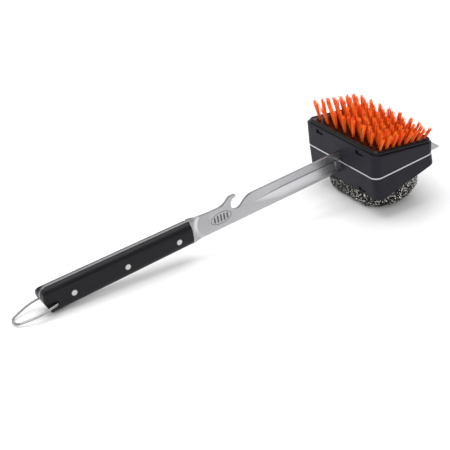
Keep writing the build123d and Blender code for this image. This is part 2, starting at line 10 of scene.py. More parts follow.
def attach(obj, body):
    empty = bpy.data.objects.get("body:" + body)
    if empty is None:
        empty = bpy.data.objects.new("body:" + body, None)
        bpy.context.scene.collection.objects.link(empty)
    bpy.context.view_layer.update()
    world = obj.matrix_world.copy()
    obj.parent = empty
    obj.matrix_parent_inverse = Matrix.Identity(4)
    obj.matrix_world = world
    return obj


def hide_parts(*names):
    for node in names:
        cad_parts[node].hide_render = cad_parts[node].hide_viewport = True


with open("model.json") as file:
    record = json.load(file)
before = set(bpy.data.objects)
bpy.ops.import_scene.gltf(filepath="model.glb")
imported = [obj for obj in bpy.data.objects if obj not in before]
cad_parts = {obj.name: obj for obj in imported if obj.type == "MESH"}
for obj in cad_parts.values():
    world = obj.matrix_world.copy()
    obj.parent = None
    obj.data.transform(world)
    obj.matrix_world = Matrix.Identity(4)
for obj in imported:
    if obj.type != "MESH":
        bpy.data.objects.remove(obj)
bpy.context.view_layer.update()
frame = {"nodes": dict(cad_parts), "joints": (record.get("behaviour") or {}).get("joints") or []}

# Looks of a two-sided grill cleaning brush. The brush's own frame has +X from the butt to the head, +Y to the
# left and +Z towards the bristles, and its origin is on the rear handle rivet. Sizes below are in millimetres
# in that frame unless they say otherwise, and TOOL turns them into the row frame's metres.

MM = 0.001

# ---- the brush's own frame, found from the joints ----------------------------------------------------

LOOP_PIVOT = (-19.5, 0.0, -2.1)


def joint(name):
    return next(j for j in frame["joints"] if j["name"] == name)


def tool_matrix():
    """Own frame in millimetres to row frame in metres. The cartridges leave the head evenly about its X."""
    up_axis = Vector(joint("brush_release")["axis"])
    down_axis = Vector(joint("scrubber_release")["axis"])
    x = (up_axis + down_axis).normalized()
    z = (up_axis - down_axis).normalized()
    y = z.cross(x)
    turn = Matrix((x, y, z)).transposed()
    pivot = Vector(joint("loop_swing")["pos_m"])
    origin = pivot - turn @ (Vector(LOOP_PIVOT) * MM)
    return Matrix.Translation(origin) @ turn.to_4x4() @ Matrix.Scale(MM, 4)


TOOL = tool_matrix()
TOOL_TURN = TOOL.to_3x3().normalized()
TOOL_TILT = TOOL_TURN.to_euler()


def place(x, y, z):
    return TOOL @ Vector((x, y, z))


# ---- driving dimensions ------------------------------------------------------------------------------

# Bristles: each tuft's place, lean and length come from its CAD solid
FILAMENTS = 19
FILAMENT_R = 0.29
FILAMENT_SIDES = 6
FILAMENT_STEPS = 8
ROOT_DEPTH = 4.2
SPREAD_POWER = 1.15
TUFT_STRAY = 0.8  # how far a whole tuft's tip strays sideways
TIP_FILL = 0.82  # how much of the CAD tuft's tip the filaments fill
TIP_SCATTER = 0.28  # how far a filament's tip strays, as a share of that
BEND, WAVE, WAVE_TURN = 0.9, 0.12, 7.5  # bow and ripple of a filament, and the ripple's turn in radians
TUFT_CUT, TUFT_CUT_SPREAD = 1.005, 0.02  # a tuft's length against its CAD solid
FILAMENT_CUT_SPREAD, FILAMENT_CUT_LIMITS = 0.05, (-0.16, 0.06)
TUFT_TONE, FILAMENT_TONE = 0.22, 0.38
DISC_JITTER = 0.07
CUT_END = 0.72  # width of a filament's cut end
ROOT_SHARE = 0.7  # how far up its bore a filament starts

# Scrubber pad: a knit of flattened wire with painted glints, over a dark form painted as the shade inside the
# pad
PAD_X, PAD_Y, PAD_HEIGHT, PAD_BASE = 76.0, 110.0, 27.0, 0.15
PAD_PLAN_R, PAD_CROWN_R = 36.0, 9.0
MESH_CELL = (5.0, 4.1)
WIRE_W, WIRE_T = 0.7, 0.2
POINTS_PER_LOOP = 14
LOOP_LEAN, LOOP_REACH, LOOP_STRAY = 0.28, 0.74, 0.4  # shape of a knitted loop against its cell
DRIFT, DRIFT_SCALE = 2.2, 0.13  # how far the knit wanders, and how fast
CRIMP, TANGLE, TANGLE_DRIFT = 0.35, 0.45, 0.6  # how the wire dips under itself and into the pad
WIRE_TWIST, TWIST_SCALE = 0.9, 0.35
MESH_LAYERS = (("mesh_outer", -0.3, 4.0), ("mesh_middle", 0.9, 86.0))  # name, depth and turn in degrees
SHADE_FILLING_DEPTH, SHADE_FILLING_LUMP = 2.6, 0.8

# Etched mark on the right side of the neck: an oval ring with upright bars in it
MARK_X, MARK_Z = 175.6, -0.4
MARK_HALF_L, MARK_HALF_H = 12.4, 6.4
MARK_LINE = 0.62
MARK_BARS = 5
BLADE_SIDE_Y = -1.5

# Places on the blade where the shade and highlights painted into its colour change
GROOVE_TIP_X, GROOVE_FULL_X, GROOVE_TIP_Z = 213.0, 252.0, 0.4
GROOVE_FADE = 22.0  # how far the groove's painted shade and highlight take to come in
BLADE_HEIGHT = 24.0
HOLLOW_X, HOLLOW_Z = 162.0, -1.8
HOLLOW_SWING = 0.22  # how far the painted highlight and shade bands lean forward for each millimetre of height
BRUSHED_DEPTH = 0.002

RIVET_PITCH = 60.0
RIVET_HEAD_R = 3.3

# Tongues in the windows of the head's end walls, which leave an L-shaped gap
HEAD_ENDS_X = (331.5, 412.8)
MID_Z = -1.3
RIM_HEIGHTS = (27.1, 12.35)
LEAN = 0.057
WEDGE = 10.39
WINDOW_Y, WINDOW_DROP = 34.0, 4.7
WINDOW_HALF_W, WINDOW_HALF_H = 5.75, 2.3
TONGUE_HALF_W, TONGUE_HALF_H = 4.3, 1.5
TONGUE_SUNK, TONGUE_T = 0.5, 0.9

BRISTLE_SEED, PAD_SEED = 41, 7

# Camera
CAMERA_TARGET = (179.4, 0.0, -11.8)
CAMERA_AZIMUTH = -31.37
CAMERA_ELEVATION = 29.24
CAMERA_ROLL = -3.57
CAMERA_DISTANCE = 1206.1
CAMERA_LENS = 93.28

# ---- node materials ----------------------------------------------------------------------------------


class Shader:
    """A material's node tree, built one node at a time."""

    def __init__(self, name):
        self.material = bpy.data.materials.new(name)
        self.material.use_nodes = True
        self.tree = self.material.node_tree
        self.tree.nodes.clear()
        self.output = self.add("ShaderNodeOutputMaterial")
        self.principled = self.add("ShaderNodeBsdfPrincipled")
        self.join(self.principled, "BSDF", self.output, "Surface")

    def add(self, kind, **settings):
        node = self.tree.nodes.new(kind)
        for key, value in settings.items():
            setattr(node, key, value)
        return node

    def join(self, source, out, target, into):
        self.tree.links.new(source.outputs[out], target.inputs[into])

    def set(self, **values):
        for key, value in values.items():
            self.principled.inputs[key.replace("_", " ")].default_value = value

    def coordinates(self, scale):
        """Position in the brush's own directions, stretched by scale, in repeats per metre."""
        where = self.add("ShaderNodeTexCoord")
        spin = self.add("ShaderNodeMapping", vector_type="TEXTURE")
        spin.inputs["Rotation"].default_value = TOOL_TILT
        stretch = self.add("ShaderNodeMapping")
        stretch.inputs["Scale"].default_value = scale
        self.join(where, "Object", spin, "Vector")
        self.join(spin, "Vector", stretch, "Vector")
        return stretch

    def own_place(self):
        """Position in the brush's own frame, in millimetres, split into X, Y and Z."""
        where = self.add("ShaderNodeTexCoord")
        own = self.add("ShaderNodeMapping", vector_type="TEXTURE")
        own.inputs["Location"].default_value = TOOL.translation
        own.inputs["Rotation"].default_value = TOOL_TILT
        own.inputs["Scale"].default_value = (MM, MM, MM)
        split = self.add("ShaderNodeSeparateXYZ")
        self.join(where, "Object", own, "Vector")
        self.join(own, "Vector", split, "Vector")
        return split

    def math(self, operation, *values):
        """A maths node; each value is a number or a (node, output) pair."""
        node = self.add("ShaderNodeMath", operation=operation)
        for i, value in enumerate(values):
            if isinstance(value, tuple):
                self.join(value[0], value[1], node, i)
            else:
                node.inputs[i].default_value = value
        return node, "Value"

    def multiply(self, first, second, amount=1.0):
        """Two colours multiplied together, each a (node, output) pair."""
        mix = self.add("ShaderNodeMix", data_type="RGBA", blend_type="MULTIPLY")
        mix.inputs[0].default_value = amount
        self.join(first[0], first[1], mix, 6)
        self.join(second[0], second[1], mix, 7)
        return mix

    def noise(self, scale, detail=3.0, roughness=0.5):
        field = self.add("ShaderNodeTexNoise")
        field.inputs["Scale"].default_value = 1.0
        field.inputs["Detail"].default_value = detail
        field.inputs["Roughness"].default_value = roughness
        self.join(self.coordinates(scale), "Vector", field, "Vector")
        return field

    def ramp(self, source, out, stops):
        """Colours by value; stops are (position, colour)."""
        node = self.add("ShaderNodeValToRGB")
        node.color_ramp.elements[0].position = stops[0][0]
        node.color_ramp.elements[0].color = stops[0][1]
        node.color_ramp.elements[1].position = stops[-1][0]
        node.color_ramp.elements[1].color = stops[-1][1]
        for position, colour in stops[1:-1]:
            node.color_ramp.elements.new(position).color = colour
        self.join(source, out, node, "Fac")
        return node

    def spread(self, source, out, low, high, start=0.0, end=1.0):
        """Maps a value from start..end to low..high."""
        node = self.add("ShaderNodeMapRange")
        node.inputs["From Min"].default_value = start
        node.inputs["From Max"].default_value = end
        node.inputs["To Min"].default_value = low
        node.inputs["To Max"].default_value = high
        self.join(source, out, node, "Value")
        return node

    def bump(self, source, out, strength, depth_mm):
        node = self.add("ShaderNodeBump")
        node.inputs["Strength"].default_value = strength
        node.inputs["Distance"].default_value = depth_mm * MM
        self.join(source, out, node, "Height")
        return node

    def normal(self, node):
        self.join(node, "Normal", self.principled, "Normal")


def grey(value):
    return (value, value, value, 1.0)


def brushed_shader(name, tone, roughness, lines):
    """Stainless steel with fine lines, as (shader, its colour node); lines are repeats per metre along X, Y
    and Z of the brush."""
    shader = Shader(name)
    shader.set(Metallic=1.0)
    streaks = shader.noise(lines, detail=4.0, roughness=0.6)
    cloud = shader.noise((14.0, 60.0, 45.0), detail=2.0)
    colour = shader.ramp(streaks, "Fac", [(0.25, grey(tone * 0.95)), (0.75, grey(tone * 1.05))])
    tint = shader.ramp(cloud, "Fac", [(0.3, (0.90, 0.89, 0.93, 1)), (0.7, (1.0, 0.99, 1.02, 1))])
    mix = shader.multiply((colour, "Color"), (tint, "Color"))
    shader.join(mix, 2, shader.principled, "Base Color")
    rough = shader.spread(streaks, "Fac", roughness - 0.04, roughness + 0.05, 0.3, 0.7)
    shader.join(rough, "Result", shader.principled, "Roughness")
    shader.normal(shader.bump(streaks, "Fac", 0.2, BRUSHED_DEPTH))
    return shader, mix


def brushed_steel(name, tone, roughness, lines):
    return brushed_shader(name, tone, roughness, lines)[0].material


def blade_steel(name, tone, roughness):
    """The blade's steel: brushed along its length, with painted shade on the groove's steep wall and a
    painted highlight on its long wall, a painted highlight and painted shade in bands across the hollow in
    front of the grips, and painted shade on its cut edges."""
    shader, brushed = brushed_shader(name, tone, roughness, (25.0, 5000.0, 5000.0))
    own = shader.own_place()
    size = shader.spread(own, "X", 0.05, 1.0, GROOVE_TIP_X, GROOVE_FULL_X)
    from_tip = shader.math("SUBTRACT", (own, "Z"), GROOVE_TIP_Z)
    height = shader.math("DIVIDE", from_tip, (size, "Result"))
    level = shader.math("MULTIPLY_ADD", height, 1 / BLADE_HEIGHT, 0.5)
    # Painted shade on the groove's steep wall and a painted highlight on its long wall.
    groove = shader.ramp(
        *level,
        [
            (0.06, grey(1.0)),
            (0.12, grey(1.20)),
            (0.30, grey(1.50)),
            (0.50, grey(1.60)),
            (0.545, grey(0.62)),
            (0.60, grey(0.55)),
            (0.635, grey(1.12)),
        ],
    )
    started = shader.spread(own, "X", 0.0, 1.0, GROOVE_TIP_X, GROOVE_TIP_X + GROOVE_FADE)
    along_groove = shader.multiply((brushed, 2), (groove, "Color"))
    shader.join(started, "Result", along_groove, 0)

    # Painted highlight and painted shade in bands across the hollow in front of the grips, stronger towards
    # the top.
    out_x = shader.math("SUBTRACT", (own, "X"), HOLLOW_X)
    out_z = shader.math("SUBTRACT", (own, "Z"), HOLLOW_Z)
    squares = [shader.math("MULTIPLY", value, value) for value in (out_x, out_z)]
    radius = shader.math("SQRT", shader.math("ADD", *squares))
    swing = shader.math("MULTIPLY", out_z, HOLLOW_SWING)
    outward = shader.math("MULTIPLY_ADD", shader.math("SUBTRACT", radius, swing), 1 / 20.0, -0.5)
    hollow_painted_light = shader.ramp(
        *outward,
        [
            (0.0, grey(0.92)),
            (0.235, grey(0.86)),
            (0.25, grey(1.5)),
            (0.40, grey(1.4)),
            (0.52, grey(0.74)),
            (0.66, grey(0.68)),
            (0.80, grey(1.0)),
        ],
    )
    in_hollow = shader.math("LESS_THAN", (own, "X"), HOLLOW_X)
    upper = shader.spread(own, "Z", 0.25, 1.0, -6.0, 3.0)
    hollowed = shader.multiply((along_groove, 2), (hollow_painted_light, "Color"))
    shader.join(*shader.math("MULTIPLY", in_hollow, (upper, "Result")), hollowed, 0)

    # Painted shade on faces turned away from the blade's flat sides, such as its cut edges and the groove's
    # steep wall.
    facing = shader.add("ShaderNodeSeparateXYZ")
    shader.join(shader.add("ShaderNodeTexCoord"), "Normal", facing, "Vector")
    edge_painted_shade = shader.ramp(*shader.math("ABSOLUTE", (facing, "Y")), [(0.3, grey(0.52)), (0.8, grey(1.0))])
    edged = shader.multiply((hollowed, 2), (edge_painted_shade, "Color"))
    shader.join(edged, 2, shader.principled, "Base Color")
    return shader.material


def spun_rivet(name, tone):
    """Rivet heads with painted shade in a ring at the rim and in a shallow dimple, found from the distance to
    each rivet's axis.
    """
    shader = Shader(name)
    shader.set(Metallic=1.0, Roughness=0.32)
    own = shader.own_place()
    from_rivet = shader.math("PINGPONG", (own, "X"), RIVET_PITCH / 2)
    squares = [shader.math("MULTIPLY", value, value) for value in (from_rivet, (own, "Z"))]
    radius = shader.math("SQRT", shader.math("ADD", *squares))
    # Painted shade: a dark ring at the rim and a darker dimple; the same ramp also gives the bump.
    shade = shader.ramp(
        *shader.math("DIVIDE", radius, RIVET_HEAD_R),
        [(0.0, grey(0.62)), (0.2, grey(0.85)), (0.3, grey(1.0)), (0.72, grey(1.0)), (0.92, grey(0.30))],
    )
    scratches = shader.noise((1500.0, 1500.0, 1500.0), detail=3.0)
    colour = shader.ramp(scratches, "Fac", [(0.3, grey(tone * 0.9)), (0.7, grey(tone * 1.08))])
    mix = shader.multiply((colour, "Color"), (shade, "Color"))
    shader.join(mix, 2, shader.principled, "Base Color")
    shader.normal(shader.bump(shade, "Color", 0.5, 0.08))
    return shader.material


def etched_steel(name):
    """Dark etching, a little mottled."""
    shader = Shader(name)
    shader.set(Metallic=0.6, Roughness=0.55)
    mottle = shader.noise((1800.0, 1800.0, 1800.0), detail=3.0)
    colour = shader.ramp(mottle, "Fac", [(0.3, grey(0.045)), (0.7, grey(0.12))])
    shader.join(colour, "Color", shader.principled, "Base Color")
    shader.normal(shader.bump(mottle, "Fac", 0.4, 0.01))
    return shader.material


def moulded_plastic(name, colour, roughness, grain_mm, grain_depth, specular):
    """Dark moulded plastic with a fine spark-eroded grain and slow changes of gloss."""
    shader = Shader(name)
    shader.set(IOR=1.47, Specular_IOR_Level=specular)
    grain = shader.noise((1000.0 / grain_mm,) * 3, detail=2.0, roughness=0.6)
    cloud = shader.noise((45.0, 45.0, 45.0), detail=3.0)
    dark = tuple(c * 0.85 for c in colour) + (1.0,)
    light = tuple(c * 1.15 for c in colour) + (1.0,)
    shade = shader.ramp(grain, "Fac", [(0.3, dark), (0.7, light)])
    shader.join(shade, "Color", shader.principled, "Base Color")
    rough = shader.spread(cloud, "Fac", roughness - 0.05, roughness + 0.06, 0.3, 0.7)
    shader.join(rough, "Result", shader.principled, "Roughness")
    shader.normal(shader.bump(grain, "Fac", 0.35, grain_depth))
    return shader.material


def nylon(name):
    """Bright orange monofilament: a little light passes through, each filament has its own tone, and painted
    shade darkens each filament towards its root.
    """
    shader = Shader(name)
    tone = shader.add("ShaderNodeAttribute", attribute_name="tone")
    along = shader.add("ShaderNodeAttribute", attribute_name="along")
    hue = shader.ramp(
        tone,
        "Fac",
        [(0.0, (0.80, 0.050, 0.001, 1)), (0.45, (1.0, 0.115, 0.002, 1)), (1.0, (1.0, 0.24, 0.022, 1))],
    )
    # Painted shade: each filament darkens towards its root, deep between the tufts.
    depth = shader.ramp(along, "Fac", [(0.0, grey(0.3)), (0.3, grey(0.9)), (1.0, grey(1.0))])
    mix = shader.multiply((hue, "Color"), (depth, "Color"))
    shader.join(mix, 2, shader.principled, "Base Color")
    shader.set(Roughness=0.45, Specular_IOR_Level=0.3, Subsurface_Weight=0.3, Subsurface_Scale=0.001)
    shader.principled.inputs["Subsurface Radius"].default_value = (1.0, 0.25, 0.05)
    return shader.material


def mesh_wire(name):
    """Flattened stainless wire, with painted glints and painted shade in patches along it."""
    shader = Shader(name)
    shader.set(Metallic=1.0)
    painted_glint_patches = shader.noise((420.0, 420.0, 420.0), detail=2.0)
    # Painted glints and painted shade: the colour jumps from near black to bright steel between patches.
    colour = shader.ramp(painted_glint_patches, "Fac", [(0.52, (0.012, 0.011, 0.010, 1)), (0.63, (0.80, 0.78, 0.74, 1))])
    shader.join(colour, "Color", shader.principled, "Base Color")
    rough = shader.spread(painted_glint_patches, "Fac", 0.14, 0.30, 0.3, 0.7)
    shader.join(rough, "Result", shader.principled, "Roughness")
    return shader.material


def painted_shade_filling(name):
    """What shows between the wires: a near-black surface, painted shade for the mesh deeper in."""
    shader = Shader(name)
    shader.set(Metallic=0.6, Roughness=0.6)
    knots = shader.add("ShaderNodeTexVoronoi", feature="F1")
    knots.inputs["Scale"].default_value = 1.0
    shader.join(shader.coordinates((800.0, 800.0, 800.0)), "Vector", knots, "Vector")
    # Painted shade: near black, with a little random variation.
    colour = shader.ramp(knots, "Distance", [(0.1, grey(0.018)), (0.7, grey(0.003))])
    shader.join(colour, "Color", shader.principled, "Base Color")
    shader.normal(shader.bump(knots, "Distance", 0.9, 0.6))
    return shader.material


def polished_wire(name):
    shader = Shader(name)
    shader.set(Metallic=1.0)
    drawn = shader.noise((60.0, 700.0, 700.0), detail=3.0)
    colour = shader.ramp(drawn, "Fac", [(0.3, grey(0.24)), (0.7, grey(0.36))])
    shader.join(colour, "Color", shader.principled, "Base Color")
    rough = shader.spread(drawn, "Fac", 0.16, 0.26, 0.3, 0.7)
    shader.join(rough, "Result", shader.principled, "Roughness")
    shader.normal(shader.bump(drawn, "Fac", 0.3, 0.004))
    return shader.material


def studio_floor(name):
    shader = Shader(name)
    shader.set(Roughness=0.9)
    shader.set(Base_Color=grey(0.94))
    return shader.material


STEEL = blade_steel("shaft_steel", 0.43, 0.27)
SCRAPER_STEEL = brushed_steel("scraper_steel", 0.56, 0.26, (3000.0, 40.0, 3000.0))
SCREW_STEEL = brushed_steel("screw_steel", 0.50, 0.28, (900.0, 900.0, 900.0))
RIVET_STEEL = spun_rivet("rivet_steel", 0.56)
ETCHING = etched_steel("etched_steel")
GRIP = moulded_plastic("grip_plastic", (0.0032, 0.0024, 0.0048), 0.36, 0.35, 0.010, specular=0.24)
HOUSING = moulded_plastic("housing_plastic", (0.0100, 0.0086, 0.0148), 0.50, 0.4, 0.016, specular=0.20)
CARTRIDGE = moulded_plastic("cartridge_plastic", (0.0020, 0.0016, 0.0018), 0.20, 0.5, 0.004, specular=0.26)
NYLON = nylon("orange_nylon")
MESH_WIRE = mesh_wire("mesh_wire")
SHADE_FILLING = painted_shade_filling("mesh_depth")
WIRE = polished_wire("loop_steel")

NODE_MATERIALS = {
    "steel_shaft": STEEL,
    "handle_scale_right": GRIP,
    "handle_scale_left": GRIP,
    "rivet_sockets": RIVET_STEEL,
    "rivet_studs": RIVET_STEEL,
    "hanging_loop": WIRE,
    "upper_housing": HOUSING,
    "lower_housing": HOUSING,
    "scraper_plate": SCRAPER_STEEL,
    "housing_screws": SCREW_STEEL,
    "shaft_pins": SCREW_STEEL,
    "brush_base": CARTRIDGE,
    "tuft_staples": SCREW_STEEL,
    "scrubber_base": CARTRIDGE,
    "scrubber_core": SHADE_FILLING,
    "steel_mesh_pad": MESH_WIRE,
    "mesh_retainer": CARTRIDGE,
    "retainer_screws": SCREW_STEEL,
}


def dress_nodes():
    for name, material in NODE_MATERIALS.items():
        mesh = frame["nodes"][name].data
        mesh.materials.clear()
        mesh.materials.append(material)


# ---- meshes ------------------------------------------------------------------------------------------


def new_piece(name, vertices, faces, material, body, smooth=True):
    """A piece from points in row metres, riding on a body."""
    mesh = bpy.data.meshes.new(name)
    mesh.from_pydata([tuple(v) for v in vertices], [], faces)
    mesh.materials.append(material)
    if smooth:
        mesh.shade_smooth()
    piece = bpy.data.objects.new(name, mesh)
    bpy.context.scene.collection.objects.link(piece)
    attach(piece, body)
    return piece


def points_of(node):
    return np.array([v.co for v in frame["nodes"][node].data.vertices])


def solids_of(node):
    """The points of each separate solid of a CAD node."""
    mesh = frame["nodes"][node].data
    points = points_of(node)
    keys, ids = np.unique(np.round(points / 1e-6).astype(np.int64), axis=0, return_inverse=True)
    ids = ids.ravel()
    parent = list(range(len(keys)))

    def find(i):
        while parent[i] != i:
            parent[i] = parent[parent[i]]
            i = parent[i]
        return i

    for edge in mesh.edges:
        a, b = find(ids[edge.vertices[0]]), find(ids[edge.vertices[1]])
        parent[a] = b
    groups = {}
    for i, key in enumerate(ids):
        groups.setdefault(find(key), []).append(i)
    return [points[members] for members in groups.values()]


# ---- bristles ----------------------------------------------------------------------------------------


def tuft_axis(points, up):
    """(root, tip, root radius, tip radius) of one CAD tuft, in metres."""
    centre = points.mean(0)
    axis = np.linalg.svd(points - centre, full_matrices=False)[2][0]
    if axis @ up < 0:
        axis = -axis
    heights = (points - centre) @ axis
    ends = []
    for level in (heights.min(), heights.max()):
        ring = points[np.abs(heights - level) < 0.0004]
        middle = (ring.min(0) + ring.max(0)) / 2
        away = ring - middle
        ends.append((middle, np.linalg.norm(away, axis=1).max()))
    (root, root_r), (tip, tip_r) = ends
    return root, tip, root_r, tip_r


def disc_points(count, rng):
    """Even but irregular points in the unit disc."""
    golden = math.pi * (3 - math.sqrt(5))
    start = rng.uniform(0, 2 * math.pi)
    points = []
    for i in range(count):
        radius = math.sqrt((i + 0.5) / count)
        angle = start + i * golden
        points.append(
            (
                radius * math.cos(angle) + rng.uniform(-DISC_JITTER, DISC_JITTER),
                radius * math.sin(angle) + rng.uniform(-DISC_JITTER, DISC_JITTER),
            )
        )
    return points


def add_filament(path, radius, tone, vertices, faces, tones, alongs):
    """A round filament along a path of points, closed at its tip with a rounded cut."""
    start = len(vertices)
    steps = len(path)
    directions = np.gradient(np.array(path), axis=0)
    side = np.cross(directions[0], (0.3, 0.5, 0.81))
    for i, (point, direction) in enumerate(zip(path, directions)):
        direction = direction / np.linalg.norm(direction)
        side = side - direction * (side @ direction)
        side = side / np.linalg.norm(side)
        other = np.cross(direction, side)
        size = radius * (CUT_END if i == steps - 1 else 1.0)
        for k in range(FILAMENT_SIDES):
            angle = 2 * math.pi * k / FILAMENT_SIDES
            vertices.append(point + size * (side * math.cos(angle) + other * math.sin(angle)))
            tones.append(tone)
            alongs.append(i / (steps - 1))
    for i in range(steps - 1):
        for k in range(FILAMENT_SIDES):
            a = start + i * FILAMENT_SIDES + k
            b = start + i * FILAMENT_SIDES + (k + 1) % FILAMENT_SIDES
            faces.append((a, b, b + FILAMENT_SIDES, a + FILAMENT_SIDES))
    last = start + (steps - 1) * FILAMENT_SIDES
    faces.append(tuple(last + k for k in range(FILAMENT_SIDES)))


def filament_path(root, tip, root_at, tip_at, bend, wave, cut):
    """From the bore, straight to the bed, then flaring and waving out to the tip."""
    length = np.linalg.norm(tip - root)
    axis = (tip - root) / length
    side = np.cross(axis, (0.0, 1.0, 0.0))
    side /= np.linalg.norm(side)
    other = np.cross(axis, side)
    bed = ROOT_DEPTH * MM
    start = bed * ROOT_SHARE
    path = []
    for i in range(FILAMENT_STEPS):
        t = i / (FILAMENT_STEPS - 1)
        height = start + (length * cut - start) * t
        flare = max(0.0, (height - bed) / (length - bed)) ** SPREAD_POWER
        across = root_at * (1 - flare) + tip_at * flare + bend * flare * (1 - flare)
        across = across + wave[:2] * math.sin(wave[2] + WAVE_TURN * t) * flare
        path.append(root + axis * height + side * across[0] + other * across[1])
    return path


def bristle_row(node, rng):
    """The filaments of every tuft in one CAD node, as one piece."""
    up = np.array(joint("brush_release")["axis"])
    vertices, faces, tones, alongs = [], [], [], []
    for points in solids_of(node):
        root, tip, root_r, tip_r = tuft_axis(points, up)
        room_root = root_r - FILAMENT_R * MM
        room_tip = TIP_FILL * tip_r - FILAMENT_R * MM
        tuft_tone = rng.uniform(-TUFT_TONE, TUFT_TONE)
        twist = rng.uniform(-0.5, 0.5)
        stray = np.array((rng.gauss(0, 1), rng.gauss(0, 1))) * TUFT_STRAY * MM
        tuft_cut = TUFT_CUT + rng.gauss(0, TUFT_CUT_SPREAD)
        for u, v in disc_points(FILAMENTS, rng):
            turned = (u * math.cos(twist) - v * math.sin(twist), u * math.sin(twist) + v * math.cos(twist))
            root_at = np.array((u, v)) * room_root
            tip_at = np.array(turned) * room_tip
            tip_at += np.array((rng.gauss(0, TIP_SCATTER), rng.gauss(0, TIP_SCATTER))) * room_tip
            bend = np.array((rng.gauss(0, BEND), rng.gauss(0, BEND))) * MM
            wave = np.array((rng.gauss(0, WAVE) * MM, rng.gauss(0, WAVE) * MM, rng.uniform(0, 6.3)))
            shortest, longest = FILAMENT_CUT_LIMITS
            cut = tuft_cut + max(shortest, min(longest, rng.gauss(0, FILAMENT_CUT_SPREAD)))
            path = filament_path(root, tip, root_at, tip_at + stray, bend, wave, cut)
            tone = min(1.0, max(0.0, 0.5 + tuft_tone + rng.gauss(0, FILAMENT_TONE)))
            add_filament(path, FILAMENT_R * MM, tone, vertices, faces, tones, alongs)
    piece = new_piece(node.replace("bristle_row", "bristles"), vertices, faces, NYLON, "brush_cartridge")
    for name, values in (("tone", tones), ("along", alongs)):
        layer = piece.data.attributes.new(name, "FLOAT", "POINT")
        layer.data.foreach_set("value", np.array(values, np.float32))
    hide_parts(node)


def bristles():
    rng = random.Random(BRISTLE_SEED)
    for node in sorted(n for n in frame["nodes"] if n.startswith("bristle_row_")):
        bristle_row(node, rng)


# ---- scrubber pad ------------------------------------------------------------------------------------


def pad_frame():
    """Frame on the pad's flat face: X towards the front, Z out of the head, in row metres."""
    out = Vector(joint("scrubber_release")["axis"])
    side = Vector((0.0, -1.0, 0.0))
    front = side.cross(out)
    points = points_of("steel_mesh_pad")
    top = (points @ np.array(out)).max()
    along = points @ np.array(front)
    across = points @ np.array(side)
    middle_along = (along.min() + along.max()) / 2
    middle_across = (across.min() + across.max()) / 2
    centre = front * middle_along + side * middle_across + out * top
    turn = Matrix((front, side, out)).transposed()
    return Matrix.Translation(centre) @ turn.to_4x4() @ Matrix.Scale(MM, 4)


def edge_distance(angle):
    """How far the pad's plan reaches from its centre at an angle."""
    half_x, half_y = PAD_X / 2, PAD_Y / 2
    c, s = abs(math.cos(angle)), abs(math.sin(angle))
    flat_x, flat_y = half_x - PAD_PLAN_R, half_y - PAD_PLAN_R
    if c > 1e-9 and s * half_x / c <= flat_y:
        return half_x / c
    if s > 1e-9 and c * half_y / s <= flat_x:
        return half_y / s
    along = flat_x * c + flat_y * s
    return along + math.sqrt(along * along - flat_x**2 - flat_y**2 + PAD_PLAN_R**2)


def wrap(x, y, depth):
    """A point of a flat sheet laid over the pad from its centre, sunk by depth: over the face, round the
    crown and down the wall. The result is in the pad's frame, with 0 at the face, with how far it dropped."""
    angle = math.atan2(y, x)
    reach = math.hypot(x, y)
    edge = edge_distance(angle)
    flat = edge - PAD_CROWN_R
    quarter = PAD_CROWN_R * math.pi / 2
    if reach <= flat:
        radius, drop = reach, 0.0
        normal_out, normal_up = 0.0, 1.0
    elif reach <= flat + quarter:
        turn = (reach - flat) / PAD_CROWN_R
        radius = flat + PAD_CROWN_R * math.sin(turn)
        drop = PAD_CROWN_R * (1 - math.cos(turn))
        normal_out, normal_up = math.sin(turn), math.cos(turn)
    else:
        radius = edge
        drop = PAD_CROWN_R + reach - flat - quarter
        normal_out, normal_up = 1.0, 0.0
    radius -= depth * normal_out
    drop += depth * normal_up
    return Vector((radius * math.cos(angle), radius * math.sin(angle), -drop)), drop


def ribbon(path, outward, turns, vertices, faces):
    """A flattened wire along a path, with open ends tucked inside the pad. Its flat side faces outward,
    turned about the wire by turns."""
    start = len(vertices)
    points = np.array(path)
    directions = np.gradient(points, axis=0)
    for point, direction, out, turn in zip(points, directions, outward, turns):
        direction = direction / np.linalg.norm(direction)
        side = np.cross(direction, out)
        side /= np.linalg.norm(side)
        out = np.cross(side, direction)
        wide = side * math.cos(turn) + out * math.sin(turn)
        thin = out * math.cos(turn) - side * math.sin(turn)
        for a, b in ((1, 0), (0, 1), (-1, 0), (0, -1)):
            vertices.append(point + (wide * a * WIRE_W + thin * b * WIRE_T) / 2 * MM)
    for i in range(len(points) - 1):
        for k in range(4):
            a = start + i * 4 + k
            b = start + i * 4 + (k + 1) % 4
            faces.append((a, b, b + 4, a + 4))


